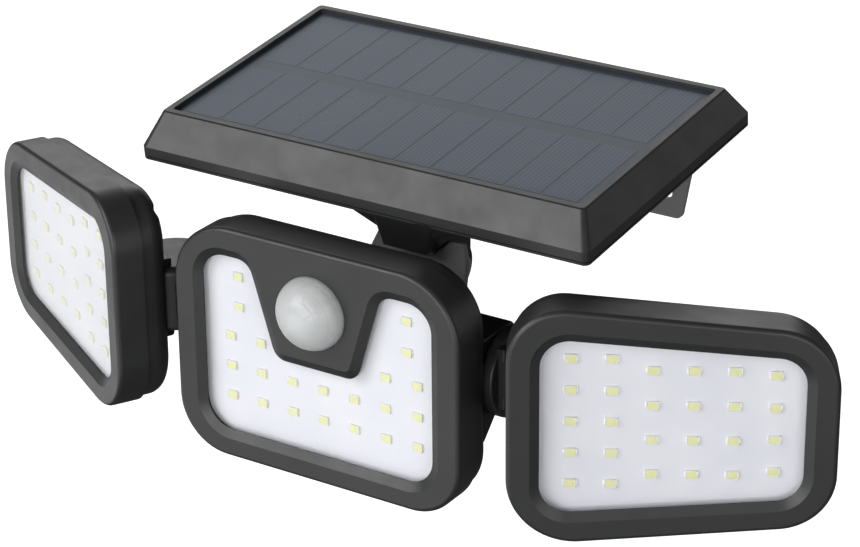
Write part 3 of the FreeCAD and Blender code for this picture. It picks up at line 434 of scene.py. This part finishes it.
last = turned(bm, rows[-1], [(PIR_R, 2.85), (13.05, 2.9), (13.1, 4.05), (10.7, 4.1), (10.7, 0.0),
                             (9.9, -3.2), (7.6, -5.9), (4.2, -7.5)])
bm.faces.new(last)
bmesh.ops.recalc_face_normals(bm, faces=bm.faces)
dome = make_object("motion_sensor_lens", bm, [M_DOME], MID, 40.0)
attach(dome, "middle_head")
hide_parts("sensor_dome")


# solar laminate: flat rectangular slab whose face is cut into cells and gaps
def build_laminate():
    HX, HY = 73.65, 41.35
    top, low = -1.4, -3.4
    fx = [0, 40, 178, 318, 460, 600, 740, 878, 1020, 1155, 1297, 1435, 1570, 1600]
    gap = 0.42
    xs = []
    for k, f in enumerate(fx):
        x = -HX + 2 * HX * f / 1600.0
        if k in (0, 13):
            xs.append((x, None))
        elif k in (1, 12):
            xs.append((x, "edge"))
        else:
            xs.append((x - gap, "g"))
            xs.append((x + gap, "g"))
    X = [x for x, _ in xs]
    Y = [HY - 2 * HY * f / 1000.0 for f in (0, 30, 470, 535, 970, 1000)]
    bm = bmesh.new()
    uvl = bm.loops.layers.uv.new("UVMap")
    grid = [[bm.verts.new((x, y, top)) for x in X] for y in Y]
    for j in range(len(Y) - 1):
        for i in range(len(X) - 1):
            f = bm.faces.new((grid[j + 1][i], grid[j + 1][i + 1], grid[j][i + 1], grid[j][i]))
            cell = j in (1, 3) and i % 2 == 1
            f.material_index = 0 if cell else 1
    cells = [f for f in bm.faces if f.material_index == 0]
    # each wafer stands a hair proud of the backing, with a soft edge
    bm.normal_update()
    res = bmesh.ops.inset_individual(bm, faces=cells, thickness=0.12, depth=0.05)
    for f in res["faces"]:
        f.material_index = 1
    # slab sides and underside
    rim = []
    rim += [grid[-1][i] for i in range(len(X))]
    rim += [grid[j][-1] for j in range(len(Y) - 2, -1, -1)]
    rim += [grid[0][i] for i in range(len(X) - 2, -1, -1)]
    rim += [grid[j][0] for j in range(1, len(Y) - 1)]
    low_ring = [bm.verts.new((v.co.x, v.co.y, low)) for v in rim]
    n = len(rim)
    for i in range(n):
        f = bm.faces.new((rim[i], low_ring[i], low_ring[(i + 1) % n], rim[(i + 1) % n]))
        f.material_index = 2
    f = bm.faces.new(low_ring[::-1])
    f.material_index = 2
    bmesh.ops.recalc_face_normals(bm, faces=bm.faces)
    for f in bm.faces:
        for l in f.loops:
            l[uvl].uv = (l.vert.co.x / 100.0 + 1.0, l.vert.co.y / 100.0 + 1.0)
    o = make_object("solar_laminate", bm, [M_PV, M_PVGAP, M_PVEDGE], PANEL, 30.0)
    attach(o, "panel_housing")
    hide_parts("solar_cells")
    return o


build_laminate()

# ------------------------------------------------------------------ stage
fm, nt, p, out = new_mat("pale_floor")
n1 = noise(nt, 3.0, 2.0, 0.5)
r = ramp(nt, n1.outputs["Fac"], [(0.3, (0.86, 0.86, 0.86)), (0.7, (0.88, 0.88, 0.88))])
nt.links.new(r.outputs[0], p.inputs["Base Color"])
p.inputs["Roughness"].default_value = 0.9
p.inputs["Emission Color"].default_value = (1.0, 1.0, 1.0, 1.0)
p.inputs["Emission Strength"].default_value = 0.75
bm = bmesh.new()
bmesh.ops.create_grid(bm, x_segments=24, y_segments=24, size=12.0)
me = bpy.data.meshes.new("floor")
bm.to_mesh(me)
bm.free()
me.materials.append(fm)
floor = bpy.data.objects.new("floor", me)
floor.location = (0.0, 0.0, -0.62)
scene.collection.objects.link(floor)
floor.visible_glossy = False
floor.visible_diffuse = False
floor.visible_transmission = True

world = bpy.data.worlds.new("studio")
world.use_nodes = True
bg = world.node_tree.nodes["Background"]
bg.inputs[0].default_value = (1.0, 1.0, 1.0, 1.0)
bg.inputs[1].default_value = 0.08
scene.world = world


def softbox(name, direction, distance, w, h, radiance, target=(0.0, -0.1, -0.02)):
    """Area light in a given direction from the lamp, facing it, with a stated brightness."""
    li = bpy.data.lights.new(name, "AREA")
    li.shape = "RECTANGLE"
    li.size, li.size_y = w, h
    li.energy = radiance * math.pi * w * h
    o = bpy.data.objects.new(name, li)
    d = Vector(direction).normalized()
    o.location = Vector(target) + d * distance
    o.rotation_mode = "QUATERNION"
    o.rotation_quaternion = d.to_track_quat("Z", "Y")
    scene.collection.objects.link(o)
    return o


softbox("key_left", (-0.50, -0.77, 0.42), 2.8, 1.7, 1.5, 5.4)
softbox("front", (0.05, -0.99, 0.10), 2.8, 1.6, 1.4, 4.4)
softbox("side_right", (0.80, -0.58, 0.16), 2.6, 1.7, 1.5, 2.2)
softbox("back_wall", (-0.52, 0.74, 0.42), 2.6, 2.6, 1.6, 1.5)
softbox("low_front", (-0.50, -0.77, -0.41), 2.4, 2.3, 1.4, 1.1)
softbox("low_left", (-0.93, 0.02, -0.38), 2.0, 1.8, 1.3, 1.0)
softbox("low_right", (0.42, -0.81, -0.40), 2.6, 1.6, 1.2, 0.5)
softbox("back_right", (0.62, 0.77, 0.10), 2.4, 1.6, 1.0, 0.45)
softbox("fill_right", (0.90, -0.40, 0.00), 2.6, 1.6, 1.6, 0.35)

# ------------------------------------------------------------------ camera
cam_data = bpy.data.cameras.new("camera")
cam_data.sensor_width = 36.0
cam_data.lens = 124.34
cam_data.clip_start, cam_data.clip_end = 0.05, 60.0
cam = bpy.data.objects.new("camera", cam_data)
az, el, rho = math.radians(33.045), math.radians(24.035), math.radians(-0.566)
back = Vector((math.sin(az) * math.cos(el), -math.cos(az) * math.cos(el), math.sin(el)))
right = Vector((math.cos(az), math.sin(az), 0.0))
up = back.cross(right)
r2 = right * math.cos(rho) + up * math.sin(rho)
u2 = -right * math.sin(rho) + up * math.cos(rho)
rot = Matrix((r2, u2, back)).transposed().to_4x4()
cam.matrix_world = Matrix.Translation(Vector((466.9, -725.7 - 60.0, 325.7 + 27.0)) * MM) @ rot
scene.collection.objects.link(cam)
scene.camera = cam

scene.view_settings.view_transform = "Standard"
scene.view_settings.look = "None"
scene.view_settings.exposure = 0.0
scene.view_settings.gamma = 1.0
